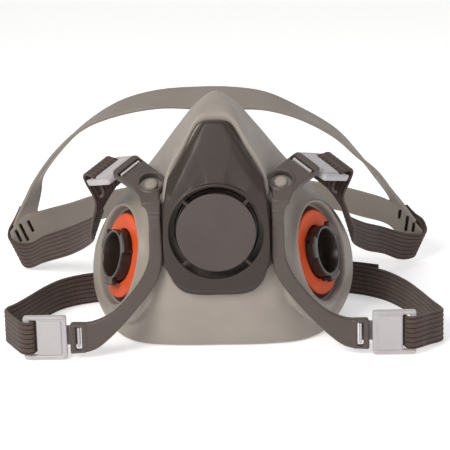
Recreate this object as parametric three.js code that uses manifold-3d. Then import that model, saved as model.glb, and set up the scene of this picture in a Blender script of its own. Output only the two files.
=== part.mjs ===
// Half-face respirator with its head harness, laid out on a table.
// Millimetres, +Z up. Inside the group y = 0 is the front of the cover's disc and the wearer is at +y.
// The group is moved so that the origin is on the table, under the middle of the chin.
import * as THREE from 'three';
import { mergeVertices } from 'three/addons/utils/BufferGeometryUtils.js';
import Module from 'manifold-3d';

const wasm = await Module();
wasm.setup();

// ---- driving dimensions -------------------------------------------------
const CHIN_MIDDLE_Y = 50; // the origin's distance behind the cover's front
const DISC_Z = 62; // height of the exhalation valve's axis

const DISC_R = 18.5;
const SLOT_R = 22;
const COVER_WALL = 2.2;
const COVER_BACK_Y = 6.4;
const SLOPE_START_Z = 82; // the cover leans back above this height
const YOKE_PLATE_Y = [6.8, 8.8];
const ADAPTER_Y = [9.1, 12.6];
const VALVE_SEAT_R = 19.2;
const VALVE_R = 17.4;
const FLAP_THICK = 0.9;

const SHELL_THICK = 3;
const PORT = new THREE.Vector3(47.6, 40, 41); // middle of the right gasket's outer face
const PORT_NORMAL = new THREE.Vector3(0.883, -0.412, 0.225).normalize();
const GASKET_R = 20.6;
const GASKET_THICK = 1.6;
const TUBE_R = 12.3;
const TUBE_BORE_R = 10.6;
const TUBE_HEIGHT = 5.3;
const LUG_R = 15;
const LUG_COUNT = 3;
const LUG_HEIGHT = 2.3;
const LUG_SWEEP = 0.75; // radians
const POCKET_R = 23.8;
const COLLAR_R = 25.6;
const COLLAR_FOOT_R = 33;
const COLLAR_HEIGHT = 2.2;
const FLANGE_R = 33.5;

const ARM_Y = [4.5, 7.7];
const ARM_THICK = ARM_Y[1] - ARM_Y[0];
const ARM_FOLD_Z = 76; // above this line an arm's end plate leans back
const ARM_LEAN = THREE.MathUtils.degToRad(55);
const END_TURN = THREE.MathUtils.degToRad(43); // the end plate's direction, up from the fold line
const EYE = { x: 30.2, s: 12.5, r: 5.3 }; // the hole in the end plate: s is the distance from the fold
const EYE_TO_SLOT = 13.8;
const END_SLOT = [14, 3];
const LOWER_SLOT = { x: 66.2, z: 10.4, tall: 11.4, wide: 2.8 };
const PEG_R = 3.3;

const STRAP_WIDE = 16;
const STRAP_THICK = 1.6;
const CRADLE_THICK = 2;

// ---- materials ------------------------------------------------------------
const finish = (color, roughness) => new THREE.MeshStandardMaterial({ color, roughness, metalness: 0 });
const SEAL = finish(0x9f968c, 0.6);
const HARD_PLASTIC = finish(0x57504d, 0.5);
const TUBE_PLASTIC = finish(0x2c1c19, 0.4);
const GASKET_RUBBER = finish(0xdc5f2d, 0.6);
const VALVE_RUBBER = finish(0xd8d2c6, 0.5);
const BUCKLE_PLASTIC = finish(0xdcd8d8, 0.35);
const WEBBING = finish(0x5b4d4a, 0.9);
const CRADLE_PLASTIC = finish(0x8d867e, 0.55);

// ---- helpers ----------------------------------------------------------------
const V = (x, y, z) => new THREE.Vector3(x, y, z);
const mirrorX = ([x, y, z]) => [-x, y, z];

function toSolid(geometry) {
  const bare = geometry.clone();
  bare.deleteAttribute('normal');
  bare.deleteAttribute('uv');
  const merged = mergeVertices(bare, 1e-3);
  const vertProperties = Float32Array.from(merged.attributes.position.array);
  const triVerts = Uint32Array.from(merged.index.array);
  return new wasm.Manifold(new wasm.Mesh({ numProp: 3, vertProperties, triVerts }));
}

function toGeometry(solid) {
  const { vertProperties, triVerts } = solid.getMesh();
  const geometry = new THREE.BufferGeometry();
  geometry.setAttribute('position', new THREE.BufferAttribute(Float32Array.from(vertProperties), 3));
  geometry.setIndex(new THREE.BufferAttribute(Uint32Array.from(triVerts), 1));
  return geometry;
}

// A front-view outline of [x, z] points with its corners rounded.
function roundedShape(points, radius) {
  const corners = points.map(([x, z]) => new THREE.Vector2(x, z));
  const shape = new THREE.Shape();
  corners.forEach((corner, i) => {
    const before = corners[(i + corners.length - 1) % corners.length];
    const after = corners[(i + 1) % corners.length];
    const cut = (other) => Math.min(radius, corner.distanceTo(other) * 0.45);
    const start = corner.clone().lerp(before, cut(before) / corner.distanceTo(before));
    const end = corner.clone().lerp(after, cut(after) / corner.distanceTo(after));
    if (i === 0) shape.moveTo(start.x, start.y);
    else shape.lineTo(start.x, start.y);
    shape.quadraticCurveTo(corner.x, corner.y, end.x, end.y);
  });
  shape.closePath();
  return shape;
}

// A shape drawn in x and z, given depth from y0 back to y1.
function plate(shape, y0, y1, curveSegments = 3) {
  const geometry = new THREE.ExtrudeGeometry(shape, { depth: y1 - y0, bevelEnabled: false, curveSegments });
  return toSolid(geometry.rotateX(Math.PI / 2).translate(0, y1, 0));
}

// A side-view profile of [y, z] points, given width w about x = 0.
function sideProfile(points, w) {
  const shape = new THREE.Shape(points.map(([y, z]) => new THREE.Vector2(-z, y)));
  const geometry = new THREE.ExtrudeGeometry(shape, { depth: w, bevelEnabled: false });
  return toSolid(geometry.rotateY(Math.PI / 2).translate(-w / 2, 0, 0));
}

// A disc about the y axis at (x, z), from y0 back to y1.
function drum(r, y0, y1, x = 0, z = 0, segments = 32) {
  return toSolid(new THREE.CylinderGeometry(r, r, y1 - y0, segments).translate(x, (y0 + y1) / 2, z));
}

function block(dx, dy, dz, x, y, z) {
  return toSolid(new THREE.BoxGeometry(dx, dy, dz).translate(x, y, z));
}

// A ring of sections joined one to the next; the first and last are closed with a fan, or joined if closed.
function loft(rings, closed = false) {
  const n = rings[0].length;
  const positions = rings.flat().flatMap((p) => [p.x, p.y, p.z]);
  const index = [];
  const spans = closed ? rings.length : rings.length - 1;
  for (let i = 0; i < spans; i++) {
    const a = i * n;
    const b = ((i + 1) % rings.length) * n;
    for (let j = 0; j < n; j++) {
      const k = (j + 1) % n;
      index.push(a + j, b + j, b + k, a + j, b + k, a + k);
    }
  }
  if (!closed) {
    const last = (rings.length - 1) * n;
    for (let j = 1; j < n - 1; j++) {
      index.push(0, j, j + 1, last, last + j + 1, last + j);
    }
  }
  const geometry = new THREE.BufferGeometry();
  geometry.setAttribute('position', new THREE.Float32BufferAttribute(positions, 3));
  geometry.setIndex(index);
  return geometry;
}

// Turns a solid inside out if its faces point in.
function outward(geometry) {
  const p = geometry.attributes.position;
  const index = geometry.index.array;
  let volume = 0;
  for (let i = 0; i < index.length; i += 3) {
    const [a, b, c] = [0, 1, 2].map((k) => new THREE.Vector3().fromBufferAttribute(p, index[i + k]));
    volume += a.dot(b.cross(c));
  }
  if (volume < 0) {
    for (let i = 0; i < index.length; i += 3) [index[i], index[i + 1]] = [index[i + 1], index[i]];
  }
  return geometry;
}

// A flat band between two edges, each a list of points that correspond.
function ribbon(edgeA, edgeB, thick, steps) {
  const curve = (points) => new THREE.CatmullRomCurve3(points.map((p) => V(...p)), false, 'centripetal');
  const [a, b] = [curve(edgeA), curve(edgeB)];
  const rings = [];
  for (let i = 0; i <= steps; i++) {
    const t = i / steps;
    const [pa, pb] = [a.getPoint(t), b.getPoint(t)];
    const along = a.getTangent(t).add(b.getTangent(t));
    const half = along.cross(pb.clone().sub(pa)).normalize().multiplyScalar(thick / 2);
    rings.push([pa.clone().add(half), pb.clone().add(half), pb.clone().sub(half), pa.clone().sub(half)]);
  }
  return outward(loft(rings));
}

const object = new THREE.Group();
object.position.y = -CHIN_MIDDLE_Y;

function add(name, geometry, material, parent = object) {
  const mesh = new THREE.Mesh(geometry, material);
  mesh.name = name;
  parent.add(mesh);
  return mesh;
}

// ---- facepiece: the soft half mask ------------------------------------------------
// Each loop goes round the mask from the nose, down the right side, to the chin. Points are [x, y, z].
const FRONT_RIM = [
  [0, 17.5, 114.2], [7.2, 17, 113.6], [15.2, 14.4, 101.5], [22.4, 12.4, 88.9], [24.9, 9.7, 76],
  [26.4, 9.5, 60], [26.4, 9.5, 46], [23.2, 9.5, 34], [18, 9.5, 28.6], [12, 9.5, 26.8], [6, 9.5, 26.3],
  [0, 9.5, 26.3],
];
const SHOULDER = [
  [0, 25, 117.8], [7.8, 24.5, 115.4], [15.8, 21, 102.8], [22.6, 20.5, 88], [26.2, 15, 72], [29, 13, 60],
  [30.5, 12, 46], [31.5, 13, 32], [28, 13.5, 22], [20, 14, 17.5], [10, 14, 16.2], [0, 14, 16],
];
const MIDDLE = [
  [0, 38, 120.6], [8, 38, 115.5], [17, 38, 103.5], [28.5, 38, 86.5], [35.5, 38, 74], [39.5, 38, 60],
  [42.5, 38, 46], [46, 38, 30], [50, 38, 12], [42, 31, 0], [22, 24.5, 0], [0, 24, 0],
];
const CHEEK = [
  [0, 42.5, 120.4], [8.3, 43, 115.4], [18.5, 46, 103], [30, 50, 86.5], [40, 56, 73], [49, 60, 60],
  [56.5, 61, 46], [61.5, 61, 30], [62.5, 61, 14], [54, 58, 1], [30, 55, 0], [0, 54, 0],
];
const REAR = [
  [0, 47, 119], [8, 48, 114.5], [18.5, 53, 101.5], [29.5, 59, 86.5], [39.5, 67.5, 73], [49.5, 75, 60],
  [58, 81.5, 47], [63.5, 86, 31], [62, 87.5, 14], [52, 88, 2], [30, 86.5, 0], [0, 84, 0],
];
const SEAL_LIP = [
  [0, 50, 109], [3.6, 51, 106.5], [11, 56, 95.5], [21, 60, 81.5], [31, 67, 68], [41, 74, 55.5],
  [49, 80, 43.5], [54, 84, 30], [53, 85.5, 18], [44.5, 86, 11], [27, 84.5, 8.5], [0, 82, 8.5],
];
const LOOP_POINTS = 44;
const LIP_THICK = 2;

function loop(half, inset = 0, shiftY = 0) {
  const left = half.slice(1, -1).reverse().map(mirrorX);
  const closed = new THREE.CatmullRomCurve3([...half, ...left].map((p) => V(...p)), true, 'centripetal');
  const points = [];
  for (let i = 0; i < LOOP_POINTS; i++) {
    const p = closed.getPoint(i / LOOP_POINTS);
    p.z = Math.max(p.z, 0);
    const inward = V(-p.x, 0, DISC_Z - p.z).normalize().multiplyScalar(inset);
    points.push(p.add(inward).add(V(0, shiftY, 0)));
  }
  return points;
}

function portFrame(side) {
  const normal = PORT_NORMAL.clone().multiply(V(side, 1, 1));
  const up = V(0, 0, 1).sub(normal.clone().multiplyScalar(normal.z)).normalize();
  const frame = new THREE.Matrix4().makeBasis(normal.clone().cross(up), normal, up);
  return frame.setPosition(PORT.x * side, PORT.y, PORT.z);
}

const placed = (solid, frame) => solid.transform(frame.elements);

// The plane of an arm's end plate: the matrix takes (x, depth, s) to the object's frame.
function endPlateFrame() {
  const up = V(0, Math.sin(ARM_LEAN), Math.cos(ARM_LEAN));
  const back = V(0, Math.cos(ARM_LEAN), -Math.sin(ARM_LEAN));
  return new THREE.Matrix4().makeBasis(V(1, 0, 0), back, up).setPosition(0, ARM_Y[0], ARM_FOLD_Z);
}

const mirrored = (solid) => solid.mirror([1, 0, 0]);
const both = (solid) => solid.add(mirrored(solid));

function facepiece() {
  const outer = [FRONT_RIM, SHOULDER, MIDDLE, CHEEK, REAR, SEAL_LIP].map((half) => loop(half));
  const inner = [
    loop(SEAL_LIP, 0, -LIP_THICK),
    loop(REAR, SHELL_THICK * 1.3, -4),
    loop(CHEEK, SHELL_THICK),
    loop(MIDDLE, SHELL_THICK),
    loop(SHOULDER, SHELL_THICK),
    loop(FRONT_RIM, 2.2),
  ];
  let shell = toSolid(outward(loft([...outer, ...inner], true)));
  const peg = placed(drum(PEG_R, 0.8, 16, EYE.x, EYE.s, 16), endPlateFrame());
  shell = shell.add(both(peg));
  for (const side of [1, -1]) {
    const frame = portFrame(side);
    const collar = new THREE.CylinderGeometry(COLLAR_R, COLLAR_FOOT_R, COLLAR_HEIGHT + 6, 40);
    const flange = drum(FLANGE_R, -6, -3, 0, 0, 40);
    const rim = toSolid(collar.translate(0, (COLLAR_HEIGHT - 6) / 2, 0));
    const pocket = drum(POCKET_R, -3, 30, 0, 0, 40);
    const hole = drum(TUBE_R + 0.7, -20, 5);
    const spotFace = drum(17.5, -20, -6);
    shell = shell.add(placed(flange.add(rim), frame));
    shell = shell.subtract(placed(pocket.add(hole).add(spotFace), frame));
  }
  return toGeometry(shell.trimByPlane([0, 0, 1], 0));
}
add('facepiece_seal', facepiece(), SEAL);

// ---- ports: bayonet connector, gasket and inhalation valve ----------------------------
function connector() {
  const seat = drum(22.5, -2.7, -1.9, 0, 0, 40);
  const tube = drum(TUBE_R, -8, TUBE_HEIGHT);
  const inside = drum(16, -8, -6.4);
  let body = tube.add(seat).add(inside);
  for (let i = 0; i < LUG_COUNT; i++) {
    const lug = wedge(LUG_R, LUG_HEIGHT, i * 2 * Math.PI / LUG_COUNT, LUG_SWEEP);
    body = body.add(lug.translate([0, TUBE_HEIGHT - LUG_HEIGHT / 2, 0]));
  }
  body = body.subtract(drum(TUBE_BORE_R, -9, TUBE_HEIGHT + 1));
  const spider = [0, 60, 120].map((a) => block(2 * TUBE_BORE_R + 1, 1.4, 1.6, 0, -5.9, 0).rotate([0, a, 0]));
  return toGeometry(spider.reduce((sum, spoke) => sum.add(spoke), body.add(drum(3, -6.6, -5.2, 0, 0, 16))));
}

// A slice of a disc about the y axis, centred on y = 0.
function wedge(r, height, start, sweep, steps = 6) {
  const outline = [new THREE.Vector2(0, 0)];
  for (let i = 0; i <= steps; i++) {
    const a = start + sweep * i / steps;
    outline.push(new THREE.Vector2(r * Math.cos(a), r * Math.sin(a)));
  }
  const shape = new THREE.Shape(outline);
  const geometry = new THREE.ExtrudeGeometry(shape, { depth: height, bevelEnabled: false });
  return toSolid(geometry.rotateX(Math.PI / 2).translate(0, height / 2, 0));
}

function ring(rOut, rIn, y0, y1) {
  return toGeometry(drum(rOut, y0, y1, 0, 0, 36).subtract(drum(rIn, y0 - 1, y1 + 1)));
}

for (const [side, name] of [[-1, 'left'], [1, 'right']]) {
  const port = new THREE.Group();
  port.applyMatrix4(portFrame(side));
  object.add(port);
  add(`port_connector_${name}`, connector(), TUBE_PLASTIC, port);
  add(`port_gasket_${name}`, ring(GASKET_R, TUBE_R + 0.6, -GASKET_THICK, 0), GASKET_RUBBER, port);
  const flap = new THREE.CylinderGeometry(TUBE_BORE_R - 0.7, TUBE_BORE_R - 0.7, 0.6, 28);
  add(`inhalation_valve_${name}`, flap, VALVE_RUBBER, port).position.y = -7.2;
}

// ---- centre adapter: the hard frame that carries the exhalation valve's seat --------------
const ADAPTER_PROFILE = [
  [ADAPTER_Y[0], 20], [ADAPTER_Y[0], 84.5], [16, 113], [20, 113], [ADAPTER_Y[1], 86], [ADAPTER_Y[1], 20],
];

function centreAdapter() {
  const outline = loop(FRONT_RIM, 2.9).map((p) => new THREE.Vector2(p.x, p.z));
  let body = plate(new THREE.Shape(outline), 5, 24).intersect(sideProfile(ADAPTER_PROFILE, 80));
  body = body.add(drum(VALVE_SEAT_R, 6.9, ADAPTER_Y[1], 0, DISC_Z));
  body = body.subtract(drum(VALVE_SEAT_R - 2, 5, 15, 0, DISC_Z));
  const spokes = [0, 60, 120].map((a) => block(2 * VALVE_SEAT_R - 2, 2, 2, 0, 0, 0).rotate([0, a, 0]));
  const spider = spokes.reduce((sum, spoke) => sum.add(spoke)).add(drum(3.4, -1, 1, 0, 0, 16));
  return toGeometry(body.add(spider.translate([0, 10.4, DISC_Z])));
}
add('center_adapter', centreAdapter(), HARD_PLASTIC);
add('exhalation_valve', toGeometry(drum(VALVE_R, 6.6 - FLAP_THICK, 6.6, 0, DISC_Z)), VALVE_RUBBER);

// ---- exhalation cover: the shield over the valve --------------------------------------------
const COVER_OUTLINE = [[5, 112.3], [21.5, 89.8], [24, 74], [24.8, 60], [24.5, 46.5], [21, 38.5], [14, 33.2]];
const COVER_PROFILE = [
  [0, 30], [0, SLOPE_START_Z], [11, 113.5], [15.1, 113.5], [8.7, 84.6], [COVER_BACK_Y, 84.6],
  [COVER_BACK_Y, 30],
];

const mirroredOutline = (half) => [...half, ...half.map(([x, z]) => [-x, z]).reverse()];

function cover() {
  const outline = roundedShape(mirroredOutline(COVER_OUTLINE), 2.5);
  const solid = plate(outline, -1, 17).intersect(sideProfile(COVER_PROFILE, 80));
  const inside = COVER_OUTLINE.map(([x, z]) => {
    const inward = new THREE.Vector2(x, z - DISC_Z).normalize().multiplyScalar(COVER_WALL * 1.15);
    return [x - inward.x, z - inward.y];
  });
  const front = COVER_WALL + 0.4;
  const hollowProfile = [[front, 30], [front, SLOPE_START_Z], [13.3, 113.5], [25, 113.5], [25, 30]];
  const insideOutline = roundedShape(mirroredOutline(inside), 2);
  const hollow = plate(insideOutline, -1, 17).intersect(sideProfile(hollowProfile, 80));
  const slot = drum(SLOT_R, -1, 5, 0, DISC_Z, 48).subtract(drum(DISC_R, -2, 6, 0, DISC_Z, 48));
  const spoke = (a) => block(2 * SLOT_R + 1, 2, 1.8, 0, 1.6, 0).rotate([0, a, 0]).translate([0, 0, DISC_Z]);
  return toGeometry(solid.subtract(hollow).subtract(slot).add(spoke(45)).add(spoke(135)));
}
add('exhalation_cover', cover(), HARD_PLASTIC);

// ---- harness yoke: a plate behind the cover with four arms ------------------------------------
// An arm's centre line from the fold down to its lower end: [x, z, width].
const ARM_LINE = [
  [29.6, 77, 9], [28.6, 70, 6.2], [28.4, 58.5, 6.2], [28.7, 48, 6.6], [31.2, 40, 7], [35.2, 33.6, 6.9],
  [41, 26.4, 7], [47.4, 19.8, 8], [55, 14.2, 11], [62, 11, 14.4], [70.8, 10.4, 15.4],
];

function armOutline() {
  const line = new THREE.CatmullRomCurve3(ARM_LINE.map(([x, z, w]) => V(x, z, w)), false, 'centripetal');
  const near = [];
  const far = [];
  const steps = 18;
  for (let i = 0; i <= steps; i++) {
    const p = line.getPoint(i / steps);
    const t = line.getTangent(i / steps);
    const across = new THREE.Vector2(-t.y, t.x).normalize().multiplyScalar(p.z / 2);
    near.push(new THREE.Vector2(p.x + across.x, p.y + across.y));
    far.unshift(new THREE.Vector2(p.x - across.x, p.y - across.y));
  }
  return new THREE.Shape([...near, ...far]);
}

// p runs along the end plate from its eye, w across it.
const onEndPlate = (p, w) => [
  EYE.x + p * Math.cos(END_TURN) + w * Math.sin(END_TURN),
  EYE.s + p * Math.sin(END_TURN) - w * Math.cos(END_TURN),
];
const END_OUTLINE = [
  [26, -1], [26, 8], [24.2, 16.5], onEndPlate(18.7, -8), onEndPlate(18.7, 8), onEndPlate(4, 8), [35.2, 4],
  [34.2, -1],
];

function yoke() {
  const arm = plate(armOutline(), ...ARM_Y);
  const end = plate(roundedShape(END_OUTLINE, 3), 0, ARM_THICK);
  const [sx, ss] = onEndPlate(EYE_TO_SLOT, 0);
  const across = 90 - THREE.MathUtils.radToDeg(END_TURN);
  const slot = block(END_SLOT[0], 12, END_SLOT[1], 0, 0, 0).rotate([0, across, 0]).translate([sx, 0, ss]);
  const eye = drum(EYE.r, -5, 8, EYE.x, EYE.s, 24);
  const endPlate = placed(end.subtract(slot).subtract(eye), endPlateFrame());
  const lowerSlot = block(LOWER_SLOT.wide, 12, LOWER_SLOT.tall, LOWER_SLOT.x, 6, LOWER_SLOT.z);
  const side = arm.subtract(lowerSlot).add(endPlate);
  const web = [[27.5, 71], [27.5, 47], [21, 39.5], [13, 36], [-3, 36], [-3, 84.2], [14, 84.2], [23, 76]];
  const half = plate(roundedShape(web, 1.5), ...YOKE_PLATE_Y).add(side);
  return toGeometry(both(half).subtract(drum(VALVE_SEAT_R + 0.5, 5, 10, 0, DISC_Z)));
}
add('harness_yoke', yoke(), HARD_PLASTIC);

// ---- buckles: x runs out from the arm's slot, y back, z across -------------------------------------
const BUCKLE = { near: 5.6, long: 20.5, wide: 21.5, thick: 2.6 };
const STRAP_SLOT = { long: 3.4, margin: 2.1, fromEnd: 4.6 };
const HOOK = { thick: 1.2, below: [2.6, 3.8], riser: 1.6 };
const UPPER_DROP = THREE.MathUtils.degToRad(39); // how far an upper buckle hangs back from its arm's plane

// A box given by its low and high corners.
const span = ([x0, y0, z0], [x1, y1, z1]) =>
  block(x1 - x0, y1 - y0, z1 - z0, (x0 + x1) / 2, (y0 + y1) / 2, (z0 + z1) / 2);

// A hooked plate: its hook stands in a slot of the arm, which is turned from the plate by drop.
function buckle(size, hookWide, drop) {
  const half = size.thick / 2;
  const far = size.near + size.long;
  const frame = span([size.near, -half, -size.wide / 2], [far, half, size.wide / 2]);
  const slotEnd = far - STRAP_SLOT.fromEnd + STRAP_SLOT.long / 2;
  const slotHalf = size.wide / 2 - STRAP_SLOT.margin;
  const opening = span([slotEnd - STRAP_SLOT.long, -5, -slotHalf], [slotEnd, 5, slotHalf]);
  const w = hookWide / 2;
  const [top, bottom] = HOOK.below;
  const tongue = span([-HOOK.thick / 2, top, -w], [size.near + HOOK.riser, bottom, w]);
  const riser = span([size.near, drop > 0 ? 1 : -half, -w], [size.near + HOOK.riser, bottom, w]);
  const hook = span([-HOOK.thick / 2, -1.4, -w], [HOOK.thick / 2, bottom, w]);
  const turned = tongue.add(riser).add(hook).rotate([0, 0, -THREE.MathUtils.radToDeg(drop)]);
  return toGeometry(frame.subtract(opening).add(turned));
}

const HALF_ARM = ARM_THICK / 2;
const [slotX, slotS] = onEndPlate(EYE_TO_SLOT, 0);
const END_FRAME = endPlateFrame();
const UPPER_SLOT = V(slotX, HALF_ARM, slotS).applyMatrix4(END_FRAME);
const ACROSS = V(-Math.sin(END_TURN), 0, Math.cos(END_TURN)).transformDirection(END_FRAME);
const FLAT_OUT = V(Math.cos(END_TURN), 0, Math.sin(END_TURN)).transformDirection(END_FRAME);
const UNDER = V(0, 1, 0).transformDirection(END_FRAME);
const OUT = FLAT_OUT.multiplyScalar(Math.cos(UPPER_DROP)).addScaledVector(UNDER, Math.sin(UPPER_DROP));

for (const [side, name] of [[-1, 'left'], [1, 'right']]) {
  const lower = new THREE.Group();
  lower.position.set(LOWER_SLOT.x * side, ARM_Y[0] + HALF_ARM, LOWER_SLOT.z + 0.6);
  lower.rotation.y = side < 0 ? Math.PI : 0;
  object.add(lower);
  add(`lower_buckle_${name}`, buckle(BUCKLE, 9.6, 0), BUCKLE_PLASTIC, lower);

  const flip = V(side, 1, 1);
  const out = OUT.clone().multiply(flip);
  const across = ACROSS.clone().multiply(flip).multiplyScalar(side);
  const upper = new THREE.Group();
  upper.applyMatrix4(new THREE.Matrix4().makeBasis(out, across.clone().cross(out), across));
  upper.position.copy(UPPER_SLOT).multiply(flip);
  object.add(upper);
  add(`upper_buckle_${name}`, buckle(BUCKLE, 12, UPPER_DROP), BUCKLE_PLASTIC, upper);
}

// ---- webbing straps: two edges each, from the buckle to the far end ------------------------------------
const UPPER_TOP = [[49, 50.5, 81.5], [50, 57, 74], [54.5, 68, 65], [60, 82, 55]];
const UPPER_BOTTOM = [[60, 42.5, 73.5], [60.5, 51, 65.5], [63, 65, 53], [66.3, 82, 41]];
const UPPER_STRAPS = {
  left: {
    top: [
      ...UPPER_TOP.map(mirrorX),
      [-62, 98, 48], [-81.5, 130, 32.5], [-98.5, 149, 22.5], [-107.5, 157, 16.5], [-114, 161, 15],
    ],
    bottom: [
      ...UPPER_BOTTOM.map(mirrorX),
      [-67.5, 98, 32.5], [-82, 130, 16.8], [-100.5, 150, 6.5], [-108, 158.5, 1.4], [-111, 161.5, 0.5],
    ],
  },
  right: {
    top: [...UPPER_TOP, [62.5, 100, 44.5], [72, 122, 34], [84, 145, 25], [95, 155, 19], [102, 159, 17]],
    bottom: [
      ...UPPER_BOTTOM, [66.5, 100, 29], [74, 122, 18.4], [84.5, 146, 9.5], [93, 156.5, 3.5], [98, 160.5, 2.5],
    ],
  },
};
for (const [name, { top, bottom }] of Object.entries(UPPER_STRAPS)) {
  add(`upper_strap_${name}`, ribbon(top, bottom, STRAP_THICK, 26), WEBBING);
}

// The lower straps stand on edge on the table. Points are [x, y].
const LOWER_ROUTES = {
  left: [
    [-88.5, 12.4], [-93.5, 18.5], [-99.8, 27.6], [-103.4, 33.6], [-102, 40], [-96, 56], [-89.2, 73.5],
    [-82, 86], [-70.5, 94.5], [-50, 99.8], [-30, 102], [-15.5, 103],
  ],
  right: [
    [88.5, 12.4], [92.3, 17.4], [98.5, 19.8], [104, 21.2], [105, 26], [102.2, 37], [97.5, 55], [91.2, 74],
    [80.5, 93], [65, 104.5], [45, 106.5], [30, 104.8], [21, 103.5],
  ],
};
const STRAP_FLOOR = 0.25;
for (const [name, route] of Object.entries(LOWER_ROUTES)) {
  const edge = (z) => route.map(([x, y]) => [x, y, z]);
  const geometry = ribbon(edge(STRAP_FLOOR + STRAP_WIDE), edge(STRAP_FLOOR), STRAP_THICK, 34);
  add(`lower_strap_${name}`, geometry, WEBBING);
}

// ---- neck clasp: a hook and an eye behind the mask -----------------------------------------------------
const CLASP = { near: 5.2, long: 14, wide: 17, thick: 2.4 };
const CATCH = V(6.2, 103, STRAP_FLOOR + STRAP_WIDE / 2 + 0.5);

const clasp = new THREE.Group();
clasp.position.copy(CATCH);
object.add(clasp);
add('neck_clasp_hook', buckle(CLASP, 9, 0), HARD_PLASTIC, clasp).rotation.z = Math.PI;

function claspEye() {
  const half = CLASP.thick / 2;
  const body = span([-3.6, -half, -CLASP.wide / 2], [13.5, half, CLASP.wide / 2]);
  const catchSlot = span([-1.6, -5, -6], [1.6, 5, 6]);
  const strapSlot = span([7.2, -5, -CLASP.wide / 2 + 1.6], [10.4, 5, CLASP.wide / 2 - 1.6]);
  return toGeometry(body.subtract(catchSlot).subtract(strapSlot));
}
add('neck_clasp_eye', claspEye(), HARD_PLASTIC, clasp);

// ---- head cradle: a crown band and a rear band joined at two slotted corners ------------------------------
const CROWN_NEAR = [
  [-118, 167.3, 23.5], [-115, 166.5, 30], [-110, 165, 39], [-104.9, 164, 48], [-91.8, 162.5, 65.2],
  [-75.8, 162, 78.6], [-56.8, 163, 85], [-34, 163.5, 88.3], [-15, 163.5, 87.4], [5.8, 163.5, 86.9],
  [21.9, 163.5, 86.1], [40.6, 163, 80.9], [59.3, 163, 70.6], [70.6, 163, 60.4], [81.8, 163, 50.6],
  [89.2, 163.5, 40.6], [96.8, 163.8, 31], [102.8, 164.3, 22.5],
];
const CROWN_FAR = [
  [-107, 171, 22.5], [-104.5, 173, 32], [-102.8, 176, 40.5], [-101.8, 178.5, 48.2], [-93.2, 178, 60.6],
  [-77.3, 178, 76.6], [-57.6, 177, 89.4], [-38.3, 177, 95.1], [-15.4, 177, 96.8], [3.1, 177, 96.4],
  [22, 177, 93.2], [40.9, 177.5, 83.9], [59.7, 178, 71.7], [70.9, 178, 59.2], [81, 177, 45.6],
  [88, 175.5, 36], [92, 172.5, 28.5], [95, 170.5, 22],
];
const REAR_TOP = [
  [-119.8, 167.2, 20], [-112.5, 168.5, 28], [-103, 171.5, 30.5], [-86.9, 180.5, 32.6], [-72, 188, 35.5],
  [-36, 196, 40.5], [-4, 198, 42], [32, 196, 41], [62.8, 186.5, 37.6], [76, 180, 35.5], [87, 173.5, 33],
  [97, 168.3, 27], [106.6, 164.4, 17],
];
const REAR_BOTTOM = [
  [-119, 166.8, 14.5], [-110.5, 168.6, 11.4], [-104, 171, 14], [-89.8, 179.5, 17.6], [-73, 187.5, 20.5],
  [-36, 195.5, 24.5], [-4, 197.5, 26], [32, 195.5, 25.5], [60, 186.5, 24], [74, 180.5, 21.5],
  [88.5, 174, 18.3], [98, 168.2, 9.8], [105.4, 164.4, 11.5],
];
// A corner's adjusting slots: [x, y, z, length].
const CORNER_SLOTS = {
  left: { turn: -22, slots: [[-115.2, 168, 17.5, 7.6], [-112.1, 169, 19.3, 11], [-108.4, 170, 22.4, 7.2]] },
  right: { turn: 7, slots: [[101.5, 166.3, 18.6, 5.6], [98, 168, 20.6, 9.4], [94.3, 169.5, 25.5, 5.6]] },
};

function cradle() {
  const crown = toSolid(ribbon(CROWN_NEAR, CROWN_FAR, CRADLE_THICK, 34));
  const rear = toSolid(ribbon(REAR_TOP, REAR_BOTTOM, CRADLE_THICK, 30));
  let body = crown.add(rear);
  for (const { turn, slots } of Object.values(CORNER_SLOTS)) {
    for (const [x, y, z, long] of slots) {
      body = body.subtract(block(1.5, 12, long, 0, 0, 0).rotate([0, turn, 0]).translate([x, y, z]));
    }
  }
  return toGeometry(body);
}
add('head_cradle', cradle(), CRADLE_PLASTIC);

export default object;
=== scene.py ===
"""Half-face respirator with its head harness, lying on a pale table.

Shapes are worked out in millimetres in a working frame, where y = 0 is the front of the cover's disc,
and are moved to the part's frame, whose origin is under the middle of the chin.
"""

import math

import bmesh
import bpy
import numpy as np
from mathutils import Matrix, Vector


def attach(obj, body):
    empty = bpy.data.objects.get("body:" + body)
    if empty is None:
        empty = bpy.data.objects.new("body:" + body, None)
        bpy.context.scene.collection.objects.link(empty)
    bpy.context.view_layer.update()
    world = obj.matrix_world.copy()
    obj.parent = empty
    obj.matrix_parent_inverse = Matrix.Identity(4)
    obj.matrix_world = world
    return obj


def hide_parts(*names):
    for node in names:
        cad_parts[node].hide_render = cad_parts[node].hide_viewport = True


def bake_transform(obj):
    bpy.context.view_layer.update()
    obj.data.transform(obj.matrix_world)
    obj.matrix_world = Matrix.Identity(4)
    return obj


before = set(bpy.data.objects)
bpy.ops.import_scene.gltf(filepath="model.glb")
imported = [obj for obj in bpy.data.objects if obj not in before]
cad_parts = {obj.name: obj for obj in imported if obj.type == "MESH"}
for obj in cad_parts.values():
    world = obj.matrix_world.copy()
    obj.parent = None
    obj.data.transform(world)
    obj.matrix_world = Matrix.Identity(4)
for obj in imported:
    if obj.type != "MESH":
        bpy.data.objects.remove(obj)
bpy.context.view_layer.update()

MM = 0.001
CHIN_MIDDLE_Y = 50.0
DISC_Z = 62.0


def place(point):
    """A working-frame point, in millimetres, as a Vector in the part's frame."""
    x, y, z = point
    return Vector((x * MM, (y - CHIN_MIDDLE_Y) * MM, z * MM))


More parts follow.
